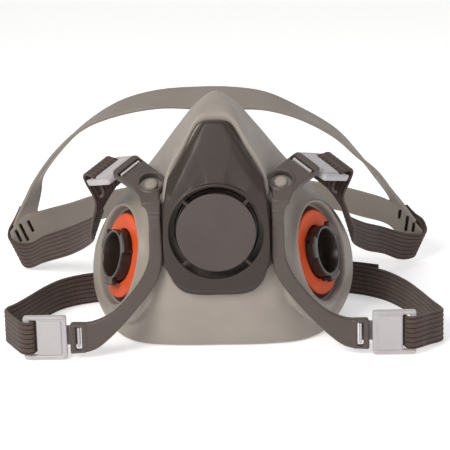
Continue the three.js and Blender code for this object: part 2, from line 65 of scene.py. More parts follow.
# ---- camera ------------------------------------------------------------------------------
ELEVATION, AZIMUTH, ROLL = (math.radians(a) for a in (15.0, 2.2, 1.6))
DISTANCE = 0.9
WIDTH_SEEN = 0.207  # at the target's distance
ahead = math.cos(ELEVATION)
back = Vector((math.sin(AZIMUTH) * ahead, -math.cos(AZIMUTH) * ahead, math.sin(ELEVATION)))
right = Vector((math.cos(AZIMUTH), math.sin(AZIMUTH), 0))
up = back.cross(right)
rolled_right = right * math.cos(ROLL) - up * math.sin(ROLL)
rolled_up = right * math.sin(ROLL) + up * math.cos(ROLL)
camera = bpy.data.objects.new("camera", bpy.data.cameras.new("camera"))
bpy.context.scene.collection.objects.link(camera)
bpy.context.scene.camera = camera
camera.data.sensor_width = 36
camera.data.lens = 36 * DISTANCE / WIDTH_SEEN
camera.data.shift_x, camera.data.shift_y = 0.02, 0.0178
camera.data.clip_end = 20
turn = Matrix((rolled_right, rolled_up, back)).transposed().to_4x4()
camera.matrix_world = Matrix.Translation(place((0, 0, DISC_Z)) + back * DISTANCE) @ turn


# ---- materials ---------------------------------------------------------------------------
class Nodes:
    """Shorthand for building one material's node tree."""

    def __init__(self, name, roughness, sockets):
        self.material = bpy.data.materials.new(name)
        self.material.use_nodes = True
        self.tree = self.material.node_tree
        self.shader = self.tree.nodes["Principled BSDF"]
        self.shader.inputs["Roughness"].default_value = roughness
        for socket, value in sockets.items():
            self.shader.inputs[socket].default_value = value
        self.coordinates = self.tree.nodes.new("ShaderNodeTexCoord")

    def link(self, value, socket):
        if isinstance(value, (int, float)):
            socket.default_value = value
        elif isinstance(value, tuple):
            socket.default_value = (*value, 1)
        else:
            self.tree.links.new(value, socket)

    def math(self, operation, a, b=0.0, clamp=False):
        node = self.tree.nodes.new("ShaderNodeMath")
        node.operation, node.use_clamp = operation, clamp
        self.link(a, node.inputs[0])
        self.link(b, node.inputs[1])
        return node.outputs[0]

    def noise(self, size, detail=2.0, stretch=(1, 1, 1)):
        """Noise whose patches are about size metres across."""
        node = self.tree.nodes.new("ShaderNodeTexNoise")
        node.inputs["Scale"].default_value = 1 / size
        node.inputs["Detail"].default_value = detail
        mapping = self.tree.nodes.new("ShaderNodeMapping")
        mapping.inputs["Scale"].default_value = stretch
        self.tree.links.new(self.coordinates.outputs["Object"], mapping.inputs["Vector"])
        self.tree.links.new(mapping.outputs[0], node.inputs["Vector"])
        return node.outputs["Fac"]

    def ramp(self, value, low, high, out_low=0.0, out_high=1.0):
        node = self.tree.nodes.new("ShaderNodeMapRange")
        self.link(value, node.inputs["Value"])
        for name, number in zip(("From Min", "From Max", "To Min", "To Max"), (low, high, out_low, out_high)):
            node.inputs[name].default_value = number
        return node.outputs[0]

    def mix(self, factor, a, b):
        node = self.tree.nodes.new("ShaderNodeMix")
        node.data_type = "RGBA"
        self.link(factor, node.inputs["Factor"])
        self.link(a, node.inputs["A"])
        self.link(b, node.inputs["B"])
        return node.outputs["Result"]

    def bump(self, height, depth):
        node = self.tree.nodes.new("ShaderNodeBump")
        node.inputs["Strength"].default_value = 1.0
        node.inputs["Distance"].default_value = depth
        self.link(height, node.inputs["Height"])
        self.tree.links.new(node.outputs[0], self.shader.inputs["Normal"])


def shade(color, factor):
    return tuple(min(1.0, c * factor) for c in color)


def moulded(name, color, roughness, grain=0.0005, depth=0.00003, mottle=0.05, edge_highlight_and_wear=0.0, sockets=None):
    """Moulded plastic or rubber: faint mottling, a fine mould texture, uneven gloss, edges painted lighter as
    a painted highlight mixed with rubbed wear.
    """
    n = Nodes(name, roughness, sockets or {})
    patches = n.noise(0.018, 5)
    base = n.mix(n.ramp(patches, 0.35, 0.65), shade(color, 1 - mottle), shade(color, 1 + mottle))
    # Convex edges are painted lighter: a painted highlight along them, broken up by noise like rubbed wear.
    if edge_highlight_and_wear:
        geometry = n.tree.nodes.new("ShaderNodeNewGeometry")
        edge = n.ramp(geometry.outputs["Pointiness"], 0.52, 0.6, 0.0, edge_highlight_and_wear)
        edge_highlight_and_scuff = n.math("MULTIPLY", edge, n.ramp(n.noise(0.004, 3), 0.3, 0.6))
        base = n.mix(edge_highlight_and_scuff, base, shade(color, 1.9))
    n.link(base, n.shader.inputs["Base Color"])
    fine = n.noise(grain, 3)
    gloss = n.ramp(n.noise(0.006, 4), 0.3, 0.7, roughness - 0.06, roughness + 0.06)
    n.link(gloss, n.shader.inputs["Roughness"])
    n.bump(n.math("ADD", fine, n.math("MULTIPLY", n.noise(grain * 5, 2), 0.6)), depth)
    return n.material


SEAL = moulded(
    "seal_rubber", (0.262, 0.232, 0.203), 0.52, 0.0007, 0.00003, 0.04, 0.25, {"Specular IOR Level": 0.4})
HARD = moulded(
    "hard_plastic", (0.034, 0.025, 0.021), 0.46, 0.0006, 0.00005, 0.06, 0.5, {"Specular IOR Level": 0.28})
DISC = moulded(
    "disc_plastic", (0.062, 0.048, 0.046), 0.52, 0.0008, 0.00012, 0.05, 0.3, {"Specular IOR Level": 0.3})
YOKE = moulded(
    "yoke_plastic", (0.070, 0.055, 0.049), 0.44, 0.0006, 0.00005, 0.06, 0.5, {"Specular IOR Level": 0.32})
TUBE = moulded(
    "tube_plastic", (0.022, 0.013, 0.010), 0.34, 0.0009, 0.00003, 0.08, 0.8, {"Specular IOR Level": 0.55})
GASKET = moulded(
    "gasket_rubber", (0.68, 0.085, 0.016), 0.5, 0.0006, 0.00003, 0.05, 0.0, {"Specular IOR Level": 0.35})
VALVE = moulded(
    "valve_silicone", (0.62, 0.58, 0.52), 0.4, 0.0009, 0.00002, 0.03, 0.0,
    {"Subsurface Weight": 0.2, "Subsurface Scale": 0.002})
BUCKLE = moulded(
    "buckle_plastic", (0.42, 0.40, 0.41), 0.34, 0.0007, 0.00004, 0.03, 0.0,
    {"Subsurface Weight": 0.25, "Subsurface Scale": 0.002, "Transmission Weight": 0.1, "IOR": 1.49})
CRADLE = moulded(
    "cradle_plastic", (0.205, 0.178, 0.155), 0.5, 0.0008, 0.00003, 0.04, 0.3, {"Specular IOR Level": 0.45})

RIBS = 7


def webbing():
    """Elastic webbing: ribs along its length, crossed by fine threads.

    u runs from 0 to 1 across the webbing, and v along it in strap widths.
    """
    n = Nodes("webbing", 0.85, {"Specular IOR Level": 0.2, "Sheen Weight": 0.1, "Sheen Roughness": 0.5})
    uv = n.tree.nodes.new("ShaderNodeSeparateXYZ")
    n.tree.links.new(n.coordinates.outputs["UV"], uv.inputs[0])
    u, v = uv.outputs[0], uv.outputs[1]
    wave = lambda value, count: n.math("SINE", n.math("MULTIPLY", value, 2 * math.pi * count))
    rib = n.ramp(wave(n.math("ADD", u, 0.25 / RIBS), RIBS), -1, -0.55)
    weft = n.ramp(wave(v, 20), -1, 1)
    warp = n.ramp(wave(u, RIBS * 4), -1, 1)
    threads = n.math("ADD", n.math("MULTIPLY", weft, 0.6), n.math("MULTIPLY", warp, 0.4))
    fuzz = n.noise(0.0006, 4)
    light = n.mix(n.ramp(n.noise(0.012, 4), 0.35, 0.65), (0.090, 0.061, 0.052), (0.124, 0.087, 0.074))
    woven = n.mix(n.math("MULTIPLY", n.math("ADD", threads, fuzz), 0.5), (0.048, 0.031, 0.027), light)
    # The grooves between the ribs are painted near-black: painted shade in the grooves.
    n.link(n.mix(rib, (0.014, 0.008, 0.007), woven), n.shader.inputs["Base Color"])
    raised = n.math("ADD", threads, n.math("MULTIPLY", rib, 1.2))
    n.bump(n.math("ADD", raised, n.math("MULTIPLY", fuzz, 0.8)), 0.00016)
    return n.material


WEBBING = webbing()


# ---- mesh helpers: everything is in millimetres in the working frame until new_object ------
def catmull(points, count, closed=False):
    """count points along a centripetal Catmull-Rom curve, evenly spread over its spans."""
    p = np.asarray(points, float)
    n = len(p)
    if closed:
        at = np.arange(count) * n / count
        k = at.astype(int)
        p0, p1, p2, p3 = (p[(k + d) % n] for d in (-1, 0, 1, 2))
    else:
        padded = np.concatenate([[2 * p[0] - p[1]], p, [2 * p[-1] - p[-2]]])
        at = np.linspace(0, n - 1, count)
        k = np.minimum(at.astype(int), n - 2)
        p0, p1, p2, p3 = (padded[k + d] for d in range(4))
    w = (at - k).reshape((-1,) + (1,) * (p.ndim - 1))
    span = lambda a, b: np.maximum(np.sum((b - a) ** 2, -1, keepdims=True) ** 0.25, 1e-4)
    d0, d1, d2 = span(p0, p1), span(p1, p2), span(p2, p3)
    t1 = ((p1 - p0) / d0 - (p2 - p0) / (d0 + d1) + (p2 - p1) / d1) * d1
    t2 = ((p2 - p1) / d1 - (p3 - p1) / (d1 + d2) + (p3 - p2) / d2) * d1
    return p1 + t1 * w + (3 * p2 - 3 * p1 - 2 * t1 - t2) * w**2 + (2 * p1 - 2 * p2 + t1 + t2) * w**3


def axes(x, y, z, at):
    """A 4 by 4 matrix whose columns are three directions and a place."""
    m = np.eye(4)
    m[:3, 0], m[:3, 1], m[:3, 2], m[:3, 3] = x, y, z, at
    return m


def moved(points, matrix):
    if matrix is None:
        return np.asarray(points, float)
    return np.asarray(points, float) @ matrix[:3, :3].T + matrix[:3, 3]


def unit(v):
    v = np.asarray(v, float)
    return v / np.linalg.norm(v)


def new_object(name, points, faces, smooth=True):
    mesh = bpy.data.meshes.new(name)
    mesh.from_pydata(((np.asarray(points) - (0, CHIN_MIDDLE_Y, 0)) * MM).tolist(), [], faces)
    b = bmesh.new()
    b.from_mesh(mesh)
    bmesh.ops.remove_doubles(b, verts=b.verts, dist=1e-7)
    bmesh.ops.recalc_face_normals(b, faces=b.faces)
    for face in b.faces:
        face.smooth = smooth
    b.to_mesh(mesh)
    b.free()
    obj = bpy.data.objects.new(name, mesh)
    bpy.context.scene.collection.objects.link(obj)
    return obj


def loft(name, rings, closed=False, matrix=None):
    """Sections joined one to the next. An open loft gets a flat cap at each end."""
    rings = np.asarray(rings, float)
    count, n = rings.shape[:2]
    faces = []
    for i in range(count if closed else count - 1):
        a, b = i * n, ((i + 1) % count) * n
        faces += [(a + j, b + j, b + (j + 1) % n, a + (j + 1) % n) for j in range(n)]
    if not closed:
        faces += [tuple(range(n)), tuple(range((count - 1) * n, count * n))]
    return new_object(name, moved(rings.reshape(-1, 3), matrix), faces)


def lathe(name, profile, matrix=None, segments=96):
    """A closed profile of (radius, depth) turned about the local y axis."""
    profile = np.asarray(profile, float)
    rings = []
    for a in np.arange(segments) * 2 * math.pi / segments:
        rings.append([(r * math.cos(a), d, r * math.sin(a)) for r, d in profile])
    return loft(name, rings, True, matrix)


def drum(name, r, y0, y1, matrix=None, segments=64):
    return lathe(name, [(0, y0), (r, y0), (r, y1), (0, y1)], matrix, segments)


def rounded(points, radius, steps=8):
    """An outline of (x, z) points with its corners rounded."""
    points = np.asarray(points, float)
    out = []
    for i, corner in enumerate(points):
        before, after = points[i - 1], points[(i + 1) % len(points)]
        ends = []
        for other in (before, after):
            length = np.linalg.norm(other - corner)
            ends.append(corner + (other - corner) * min(radius, length * 0.45) / length)
        for t in np.linspace(0, 1, steps):
            out.append((1 - t) ** 2 * ends[0] + 2 * t * (1 - t) * corner + t * t * ends[1])
    return np.array(out)


def inset(outline, distance):
    """The outline moved inwards."""
    before, after = np.roll(outline, 1, 0), np.roll(outline, -1, 0)
    along = after - before
    normal = np.stack([-along[:, 1], along[:, 0]], 1)
    normal /= np.maximum(np.linalg.norm(normal, axis=1, keepdims=True), 1e-9)
    x, z = outline.T
    area = np.sum(x * np.roll(z, -1) - np.roll(x, -1) * z)
    return outline + normal * distance * (1 if area > 0 else -1)


def plate(name, outline, y0, y1, chamfer=0.5, matrix=None):
    """An outline given depth from y0 back to y1, with its front edge chamfered."""
    outline = np.asarray(outline, float)
    back_edge = 0.25
    levels = [(y1, back_edge), (y1 - back_edge, 0), (y0 + chamfer, 0)]
    levels += [(y0 + chamfer * 0.3, chamfer * 0.4), (y0, chamfer)]
    rings = [[(x, y, z) for x, z in inset(outline, d)] for y, d in levels]
    return loft(name, rings, False, matrix)


def block(name, low, high, matrix=None):
    (x0, y0, z0), (x1, y1, z1) = low, high
    rings = [[(x0, y, z0), (x1, y, z0), (x1, y, z1), (x0, y, z1)] for y in (y0, y1)]
    return loft(name, rings, False, matrix)


def mirrored(points):
    return [(-x, *rest) for x, *rest in points]


MIRROR = axes((-1, 0, 0), (0, 1, 0), (0, 0, 1), (0, 0, 0))


def both_sides(matrix):
    matrix = np.eye(4) if matrix is None else matrix
    return [matrix, MIRROR @ matrix]


def turned(angle, at=(0, 0, 0)):
    """A turn about the y axis, in degrees, taking x towards -z, then a move."""
    c, s = math.cos(math.radians(angle)), math.sin(math.radians(angle))
    return axes((c, 0, -s), (0, 1, 0), (s, 0, c), at)


def joined(name, objects):
    """Several objects as one."""
    b = bmesh.new()
    for obj in objects:
        b.from_mesh(obj.data)
        bpy.data.objects.remove(obj)
    mesh = bpy.data.meshes.new(name)
    b.to_mesh(mesh)
    b.free()
    obj = bpy.data.objects.new(name, mesh)
    bpy.context.scene.collection.objects.link(obj)
    return obj


def applied(obj):
    """Bakes obj's modifiers into its mesh."""
    graph = bpy.context.evaluated_depsgraph_get()
    mesh = bpy.data.meshes.new_from_object(obj.evaluated_get(graph))
    obj.modifiers.clear()
    obj.data = mesh
    return obj


def cut(obj, *tools):
    tool = joined("tool", tools)
    m = obj.modifiers.new("cut", "BOOLEAN")
    m.operation, m.solver, m.object, m.use_self = "DIFFERENCE", "EXACT", tool, True
    applied(obj)
    bpy.data.objects.remove(tool)
    return obj


def fused(obj, size, smooth=3):
    """Overlapping closed pieces melted into one skin with soft edges."""
    m = obj.modifiers.new("fuse", "REMESH")
    m.mode, m.voxel_size, m.use_smooth_shade = "VOXEL", size * MM, True
    if smooth:
        s = obj.modifiers.new("soften", "SMOOTH")
        s.factor, s.iterations = 0.5, smooth
    return applied(obj)


def finished(obj, material, body, nodes):
    """Gives a piece its material, the body that it rides on and the CAD nodes that it stands for."""
    obj.data.materials.clear()
    obj.data.materials.append(material)
    for face in obj.data.polygons:
        face.use_smooth = True
    if body:
        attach(obj, body)
    if nodes:
        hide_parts(*nodes)
    return obj


def crisp(obj, width=0.25, angle=35):
    """Small rounded edges on a hard piece, with smooth shading between them."""
    m = obj.modifiers.new("edges", "BEVEL")
    m.width, m.segments, m.limit_method, m.angle_limit = width * MM, 2, "ANGLE", math.radians(angle)
    m.harden_normals = False
    return applied(obj)


# ---- facepiece ---------------------------------------------------------------------------
FRONT_RIM = [
    (0, 17.5, 114.2), (7.2, 17, 113.6), (15.2, 14.4, 101.5), (22.4, 12.4, 88.9), (24.9, 9.7, 76),
    (26.4, 9.5, 60), (26.4, 9.5, 46), (23.2, 9.5, 34), (18, 9.5, 28.6), (12, 9.5, 26.8), (6, 9.5, 26.3),
    (0, 9.5, 26.3),
]
SHOULDER = [
    (0, 25, 117.8), (7.8, 24.5, 115.4), (15.8, 21, 102.8), (22.6, 20.5, 88), (26.2, 15, 72), (29, 13, 60),
    (30.5, 12, 46), (31.5, 13, 32), (28, 13.5, 22), (20, 14, 17.5), (10, 14, 16.2), (0, 14, 16),
]
MIDDLE = [
    (0, 38, 120.6), (8, 38, 115.5), (17, 38, 103.5), (28.5, 38, 86.5), (35.5, 38, 74), (39.5, 38, 60),
    (42.5, 38, 46), (46, 38, 30), (50, 38, 12), (42, 31, 0), (22, 24.5, 0), (0, 24, 0),
]
CHEEK = [
    (0, 42.5, 120.4), (8.3, 43, 115.4), (18.5, 46, 103), (30, 50, 86.5), (40, 56, 73), (49, 60, 60),
    (56.5, 61, 46), (61.5, 61, 30), (62.5, 61, 14), (54, 58, 1), (30, 55, 0), (0, 54, 0),
]
REAR = [
    (0, 47, 119), (8, 48, 114.5), (18.5, 53, 101.5), (29.5, 59, 86.5), (39.5, 67.5, 73), (49.5, 75, 60),
    (58, 81.5, 47), (63.5, 86, 31), (62, 87.5, 14), (52, 88, 2), (30, 86.5, 0), (0, 84, 0),
]
SEAL_LIP = [
    (0, 50, 109), (3.6, 51, 106.5), (11, 56, 95.5), (21, 60, 81.5), (31, 67, 68), (41, 74, 55.5),
    (49, 80, 43.5), (54, 84, 30), (53, 85.5, 18), (44.5, 86, 11), (27, 84.5, 8.5), (0, 82, 8.5),
]
SHELL_THICK = 3.0
LIP_THICK = 2.0
ARM_FRONT_Y, ARM_BACK_Y, ARM_FOLD_Z = 4.5, 7.7, 76
POCKET_R = 23.8


def loop(half, inwards=0.0, shift_y=0.0, count=168):
    """A mask outline all the way round, from its right half."""
    points = catmull(half + mirrored(reversed(half[1:-1])), count, True)
    inward = np.stack([-points[:, 0], np.zeros(count), DISC_Z - points[:, 2]], 1)
    inward /= np.linalg.norm(inward, axis=1, keepdims=True)
    points = points + inward * inwards + (0, shift_y, 0)
    return points


def port_frame(side):
    normal = unit((0.883 * side, -0.412, 0.225))
    upward = unit(np.array((0, 0, 1)) - normal * normal[2])
    return axes(np.cross(normal, upward), normal, upward, (47.6 * side, 40, 41))


def end_plate_frame():
    """The leaning end of the right arm: x, depth, and distance from the fold."""
    lean = math.radians(55)
    inwards, along = (0, math.cos(lean), -math.sin(lean)), (0, math.sin(lean), math.cos(lean))
    return axes((1, 0, 0), inwards, along, (0, ARM_FRONT_Y, ARM_FOLD_Z))


EYE_X, EYE_S, EYE_R, PEG_R = 30.2, 12.5, 5.3, 3.35
# The port's rim in section: (distance from the port's axis, distance out along it).
COLLAR = [
    (13.0, -6.0), (13.0, -3.0), (23.4, -3.0), (23.6, -2.6), (23.7, 0.6), (23.9, 1.7), (24.4, 2.3),
    (25.1, 2.4), (25.8, 1.9), (26.3, 0.8), (27.2, -0.3), (28.8, -1.5), (30.8, -3.0), (32.3, -4.3),
    (33.0, -5.3), (32.6, -6.0),
]


def flute(x, r=0.55):
    """A faint ridge that runs back over the nose cap, x off its middle."""
    rings = []
    for t in np.linspace(0, 1, 6):
        y, z = 20.3 + t * 7 + abs(x) * 0.05, 115.9 + t * 2.6 - abs(x) * 0.1
        rings.append([(x + r * math.cos(a), y - r * math.sin(a), z) for a in np.arange(10) * math.pi / 5])
    return loft("flute", rings)


def facepiece():
    outer = [loop(half) for half in (FRONT_RIM, SHOULDER, MIDDLE, CHEEK, REAR, SEAL_LIP)]
    inner = [
        loop(SEAL_LIP, 0, -LIP_THICK), loop(REAR, SHELL_THICK * 1.3, -4), loop(CHEEK, SHELL_THICK),
        loop(MIDDLE, SHELL_THICK), loop(SHOULDER, SHELL_THICK), loop(FRONT_RIM, 3.8),
    ]
    rings = catmull(outer + inner, 96, True)
    rings[..., 2] = np.maximum(rings[..., 2], 0)
    shell = loft("shell", rings, True)
    for side in (1, -1):
        f = port_frame(side)
        pocket = drum("pocket", POCKET_R + 1, -3.5, 30, f)
        cut(shell, pocket, drum("hole", 13, -20, 5, f), drum("spot", 17.5, -20, -6, f))
    parts = [shell]
    for side, end in zip((1, -1), both_sides(end_plate_frame())):
        parts.append(lathe("collar", COLLAR, port_frame(side)))
        parts.append(lathe("peg", [(0, 0.5), (2.7, 0.5), (3.2, 0.8), (PEG_R, 1.4), (PEG_R, 16), (0, 16)],
                           end @ axes((1, 0, 0), (0, 1, 0), (0, 0, 1), (EYE_X, 0, EYE_S)), 48))
    for i in range(-2, 3):  # faint flutes on the nose cap
        parts.append(flute(i * 2.3))
    return fused(joined("facepiece", parts), 0.75, 7)


finished(facepiece(), SEAL, "mask", ["facepiece_seal"])

# ---- ports -------------------------------------------------------------------------------
TUBE_PROFILE = [
    (10.6, -8.0), (10.6, 4.7), (10.9, 5.25), (11.9, 5.3), (12.3, 4.9), (12.3, -1.2), (12.9, -1.75),
    (21.9, -1.85), (22.5, -2.1), (22.5, -2.6), (22.2, -2.75), (12.3, -2.7), (12.3, -6.3), (16.0, -6.5),
    (16.0, -7.9), (15.8, -8.0),
]
GASKET_PROFILE = [
    (12.95, -1.5), (12.95, -0.4), (13.3, -0.05), (14.2, 0.0), (16.2, -0.22), (18.6, -0.22), (19.9, 0.0),
    (20.4, -0.12), (20.6, -0.5), (20.6, -1.4), (20.4, -1.6), (13.2, -1.6),
]
LUGS = 3


def wedge(name, r0, r1, d0, d1, start, sweep, matrix):
    """A block bent round the tube: radii r0 to r1, depths d0 to d1, angles in degrees."""
    e = 0.3
    section = [(r0, d0), (r1 - e, d0), (r1, d0 + e), (r1, d1 - e), (r1 - e, d1), (r0, d1)]
    rings = []
    for a in np.radians(np.linspace(start, start + sweep, 14)):
        rings.append([(r * math.cos(a), d, r * math.sin(a)) for r, d in section])
    return loft(name, rings, False, matrix)


for side, name in ((-1, "left"), (1, "right")):
    f = port_frame(side)
    pieces = [lathe("tube", TUBE_PROFILE, f, 128)]
    for i in range(LUGS):
        start = i * 360 / LUGS
        pieces.append(wedge("lug", 11.8, 15.0, 2.7, 5.3, start, 43, f))
        pieces.append(wedge("stop", 11.8, 14.2, -1.6, 2.9, start + 36, 7, f))
        pieces.append(wedge("foot", 11.8, 14.6, -1.7, -0.6, start - 6, 30, f))
        spoke = f @ turned(i * 60, (0, -5.9, 0))
        pieces.append(block("spoke", (-10.9, -0.8, -0.7), (10.9, 0.8, 0.7), spoke))
    pieces.append(lathe("hub", [(0, -6.6), (3, -6.6), (3, -5.5), (2.6, -5.2), (0, -5.1)], f, 32))
    connector = crisp(joined(f"connector_{name}", pieces), 0.12)
    finished(connector, TUBE, "mask", [f"port_connector_{name}"])
    gasket = lathe(f"gasket_{name}", GASKET_PROFILE, f, 128)
    finished(gasket, GASKET, "mask", [f"port_gasket_{name}"])
    disc = [(0, -7.6), (9.6, -7.5), (9.9, -7.3), (9.9, -7.0), (9.5, -6.9), (5, -7.0), (2.4, -6.9), (0, -6.9)]
    flap = lathe(f"inhalation_flap_{name}", disc, f, 64)
    finished(flap, VALVE, f"inhalation_flap_{name}", [f"inhalation_valve_{name}"])


# ---- centre adapter and exhalation valve ---------------------------------------------------
at_disc = axes((1, 0, 0), (0, 1, 0), (0, 0, 1), (0, 0, DISC_Z))


def adapter():
    """The hard frame that fills the mask's front hole and leans back with the nose above."""
    outline = loop(FRONT_RIM, 3.2, 0, 200)[:, [0, 2]]
    rings = []
    for back_face, inwards in ((False, 0.7), (False, 0.0), (True, 0.0), (True, 0.5)):
        ring = []
        for x, z in inset(outline, inwards):
            lean = max(0.0, z - 84.5)
            y = 12.6 + lean * 0.274 if back_face else 9.1 + lean * 0.242
            y += (-0.4 if back_face else 0.2) if inwards == 0 else 0
            ring.append((x, y, z))
        rings.append(ring)
    body = loft("adapter", rings)
    cut(body, drum("hole", 17.2, 5, 15, at_disc, 96))
    seat = [(17.2, 6.9), (19.0, 6.9), (19.2, 7.1), (19.2, 12.4), (17.2, 12.4)]
    pieces = [body, lathe("seat", seat, at_disc), drum("hub", 3.4, 9.4, 11.4, at_disc, 32)]
    for i in range(3):
        spoke = at_disc @ turned(i * 60, (0, 10.4, 0))
        pieces.append(block("spoke", (-17.6, -1, -1), (17.6, 1, 1), spoke))
    return crisp(joined("adapter", pieces), 0.15)


finished(adapter(), TUBE, "mask", ["center_adapter"])
flap = [(0, 5.5), (1.8, 5.4), (2.4, 5.75), (6, 5.8), (16.8, 5.75), (17.4, 5.95), (17.3, 6.45), (0, 6.6)]
finished(lathe("exhalation_flap", flap, at_disc), VALVE, "exhalation_flap", ["exhalation_valve"])

# ---- exhalation cover ----------------------------------------------------------------------
COVER_HALF = [
    (5, 112.3), (22.3, 86.2), (24, 74), (24.8, 60), (24.8, 52), (24.2, 46), (22.7, 41.8), (20.4, 38.2),
    (17.3, 35.3), (13.4, 33.5), (8, 33.0),
]
DISC_R, SLOT_R = 18.5, 22.0
SLOPE_START_Z = 82.0
LEAN = 11 / 31.5
WALL = 2.4


def step(low, high, value):
    t = np.clip((value - low) / (high - low), 0, 1)
    return t * t * (3 - 2 * t)


def soft_max(a, b, width):
    return 0.5 * (a + b + np.sqrt((a - b) ** 2 + width**2))


def cover_front(x, z):
    """How far back the cover's front is: flat round the disc, leaning above, a facet down each side."""
    r = np.hypot(x, z - DISC_Z)
    lean = LEAN * soft_max(z - SLOPE_START_Z, 0 * z, 2.0)
    facet = 0.9 * soft_max(np.abs(x) - (18 - 0.5 * (z - 84)), 0 * z, 0.4) * step(76, 84, z)
    falling = 0.30 * soft_max(r - 24.2, 0 * z, 1.0) * step(88, 74, z)
    return lean + facet + falling


def cover_back(z):
    return 6.4 + step(84.4, 86.0, z) * 2.1 + np.maximum(z - 84.6, 0) * 0.2


def cover():
    outline = rounded(COVER_HALF + mirrored(reversed(COVER_HALF)), 3.0, 14)
    outline = catmull(outline, 420, True)
    centre = np.array((0, DISC_Z))
    reach = np.linalg.norm(outline - centre, axis=1, keepdims=True)

    def ring(points, y):
        return np.stack([points[:, 0], y, points[:, 1]], 1)

    rings = []
    for t in np.linspace(0.004, 0.965, 70):
        points = centre + (outline - centre) * t
        rings.append(ring(points, cover_front(*points.T)))
    for t, drop in ((0.98, 0.12), (0.99, 0.4), (0.997, 0.85), (1.0, 1.5)):
        points = centre + (outline - centre) * t
        rings.append(ring(points, cover_front(*points.T) + drop))
    front = cover_front(*outline.T)
    behind = cover_back(outline[:, 1])
    for t in (0.5, 1.0):
        rings.append(ring(outline, front + 1.5 + (behind - front - 1.5) * t))
    inside = centre + (outline - centre) * (1 - WALL / reach)
    rings.append(ring(inside, behind))
    for t in np.linspace(1, 0.004, 40):
        points = centre + (inside - centre) * t
        rings.append(ring(points, np.minimum(cover_front(*points.T) + WALL, cover_back(points[:, 1]) - 0.3)))
    shell = loft("cover", rings)
    slot = [(DISC_R, -2), (SLOT_R, -2), (SLOT_R, 6), (DISC_R, 6)]
    cut(shell, lathe("slot", slot, at_disc, 160))
    lip = [(0, 1.2), (0, 0), (0.25, -0.25), (0.75, -0.2), (1.2, 0.1), (1.2, 1.2)]
    pieces = [shell, lathe("lip", [(SLOT_R + r, y) for r, y in lip], at_disc, 160)]
    for angle in (45, 135, 225, 315):
        pieces.append(block("bridge", (17.5, 1.0, -0.8), (22.8, 2.6, 0.8), at_disc @ turned(angle)))
    return fused(joined("cover", pieces), 0.33, 2)


piece = finished(cover(), HARD, "cover", ["exhalation_cover"])
piece.data.materials.append(DISC)
for face in piece.data.polygons:
    x, y, z = face.center / MM
    if math.hypot(x, z - DISC_Z) < DISC_R + 0.2 and y + CHIN_MIDDLE_Y < 1.2:
        face.material_index = 1

# ---- harness yoke --------------------------------------------------------------------------
ARM_LINE = [
    (29.6, 77, 9), (28.6, 70, 6.2), (28.4, 58.5, 6.2), (28.7, 48, 6.6), (31.2, 40, 7), (35.2, 33.6, 6.9),
    (41, 26.4, 7), (47.4, 19.8, 8), (55, 14.2, 11), (62, 11, 14.4), (70.8, 10.4, 15.4),
]
END_TURN = 43.0  # the end plate's direction, in degrees up from the fold
END_SLOT_P = 13.8
LOWER_SLOT_X, LOWER_SLOT_Z = 66.2, 10.4
RIBS_ON_ARM = 5
WEB = [(27.5, 71), (27.5, 47), (21, 39.5), (13, 36), (-3, 36), (-3, 84.2), (14, 84.2), (23, 76)]


def on_end_plate(p, w):
    """x and distance from the fold of a point p along the end plate and w across it."""
    c, s = math.cos(math.radians(END_TURN)), math.sin(math.radians(END_TURN))
    return EYE_X + p * c + w * s, EYE_S + p * s - w * c


def yoke():
    line = catmull(ARM_LINE, 90)
    along = np.gradient(line[:, :2], axis=0)
    across = np.stack([-along[:, 1], along[:, 0]], 1)
    across *= line[:, 2:] / 2 / np.linalg.norm(across, axis=1, keepdims=True)
    near, far = line[:, :2] + across, line[:, :2] - across
    arm = np.concatenate([near, far[::-1]])
    arm = rounded(arm[::2], 1.6, 3)
    end = rounded([
        (26, -1), (26, 8), (24.2, 16.5), on_end_plate(18.7, -8), on_end_plate(18.7, 8), on_end_plate(4, 8),
        (35.2, 4), (34.2, -1),
    ], 3, 8)
    web = rounded(WEB, 1.5, 6)
    pieces = []
    for side in both_sides(None):
        f = side @ end_plate_frame()
        slot_x, slot_s = on_end_plate(END_SLOT_P, 0)
        at_slot = f @ turned(90 - END_TURN, (slot_x, 0, slot_s))
        at_eye = f @ axes((1, 0, 0), (0, 1, 0), (0, 0, 1), (EYE_X, 0, EYE_S))
        lower = plate("arm", arm, ARM_FRONT_Y, ARM_BACK_Y, 0.8, side)
        at_lower = side @ turned(0, (LOWER_SLOT_X, 0, LOWER_SLOT_Z))
        cut(lower, block("slot", (-1.4, 0, -5.7), (1.4, 12, 5.7), at_lower))
        upper = plate("end", end, 0, 3.2, 0.7, f)
        eye = drum("eye", EYE_R, -5, 8, at_eye)
        cut(upper, block("slot", (-7, -4, -1.5), (7, 8, 1.5), at_slot), eye)
        raised = [(EYE_R, 2.8), (EYE_R, -0.3), (5.6, -0.6), (6.2, -0.6), (6.7, -0.1), (6.9, 2.8)]
        rim = lathe("rim", raised, at_eye)
        pieces += [lower, upper, rim, plate("web", web, 6.8, 8.8, 0.3, side)]
        for i in range(RIBS_ON_ARM):
            z = 63.6 + i * 1.15
            pieces.append(block("rib", (25.9, 4.15, z), (31.3, 4.8, z + 0.55), side))
        pieces.append(block("ledge", (25.6, 4.1, 70.2), (31.6, 4.9, 71.0), side))
        frame_lip = rounded([(62.6, 3.4), (69.9, 3.4), (69.9, 17.4), (62.6, 17.4)], 1.2, 5)
        lip = plate("lip", frame_lip, 4.0, 4.9, 0.35, side)
        cut(lip, block("hole", (64.0, 0, 4.4), (68.5, 9, 16.4), side))
        pieces.append(lip)
    whole = fused(joined("yoke", pieces), 0.36, 2)
    return cut(whole, drum("ring", 19.7, 5, 10, at_disc, 128))


finished(yoke(), YOKE, "mask", ["harness_yoke"])

# ---- buckles -------------------------------------------------------------------------------
NEAR, FAR, HALF_WIDE = 5.6, 26.1, 10.75
SLOT_NEAR, SLOT_FAR, SLOT_HALF = 19.8, 23.2, 8.65


def rectangle(x0, x1, z0, z1):
    return [(x0, z0), (x1, z0), (x1, z1), (x0, z1)]


